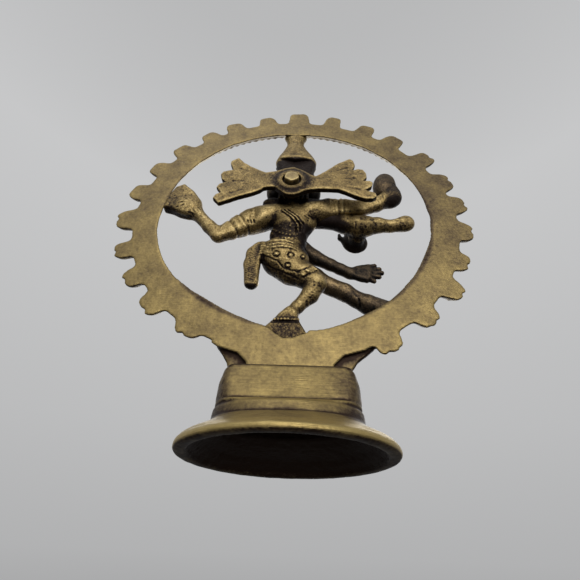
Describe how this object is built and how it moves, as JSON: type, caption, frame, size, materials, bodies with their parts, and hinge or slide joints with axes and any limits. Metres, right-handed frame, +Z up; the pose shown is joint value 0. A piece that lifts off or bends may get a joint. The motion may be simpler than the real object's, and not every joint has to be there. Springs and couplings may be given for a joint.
{
  "type": "nataraja statue",
  "caption": "Small cast brass dancing figure inside a flame ring on a hollow round foot, with a hair fan riveted behind the head.",
  "frame": {"origin": "centre of the round foot, on the surface that the statue stands on", "axes": "+Z up, -Y the way the dancer faces, +X the dancer's own left; the back of the flame ring is the plane Y = 0"},
  "size_m": [0.107, 0.0438, 0.1269],
  "materials": {
    "brushed_brass": "brushed flat with files, aged to olive gold",
    "pitted_brass": "as cast, pitted, worn bright on the high spots, dark in the hollows",
    "dark_brass": "as cast, with a dark brown patina",
    "filed_brass": "filed bright"
  },
  "bodies": {
    "statue": {"pedestal": "brushed_brass", "flame_ring": "brushed_brass", "dwarf": "dark_brass", "dancer_body": "pitted_brass", "raised_leg": "dark_brass", "front_right_arm": "pitted_brass", "front_left_arm": "dark_brass", "hand_drum": "dark_brass", "hair_pin": "filed_brass"},
    "hair_fan": {"hair_fan": "pitted_brass"}
  },
  "joints": [
    {"name": "hair_fan_swivel", "type": "hinge", "parent": "statue", "child": "hair_fan", "pos_m": [0.0013, 0.0068, 0.0761], "axis": [0, 1, 0], "range_deg": [-10, 10]}
  ]
}
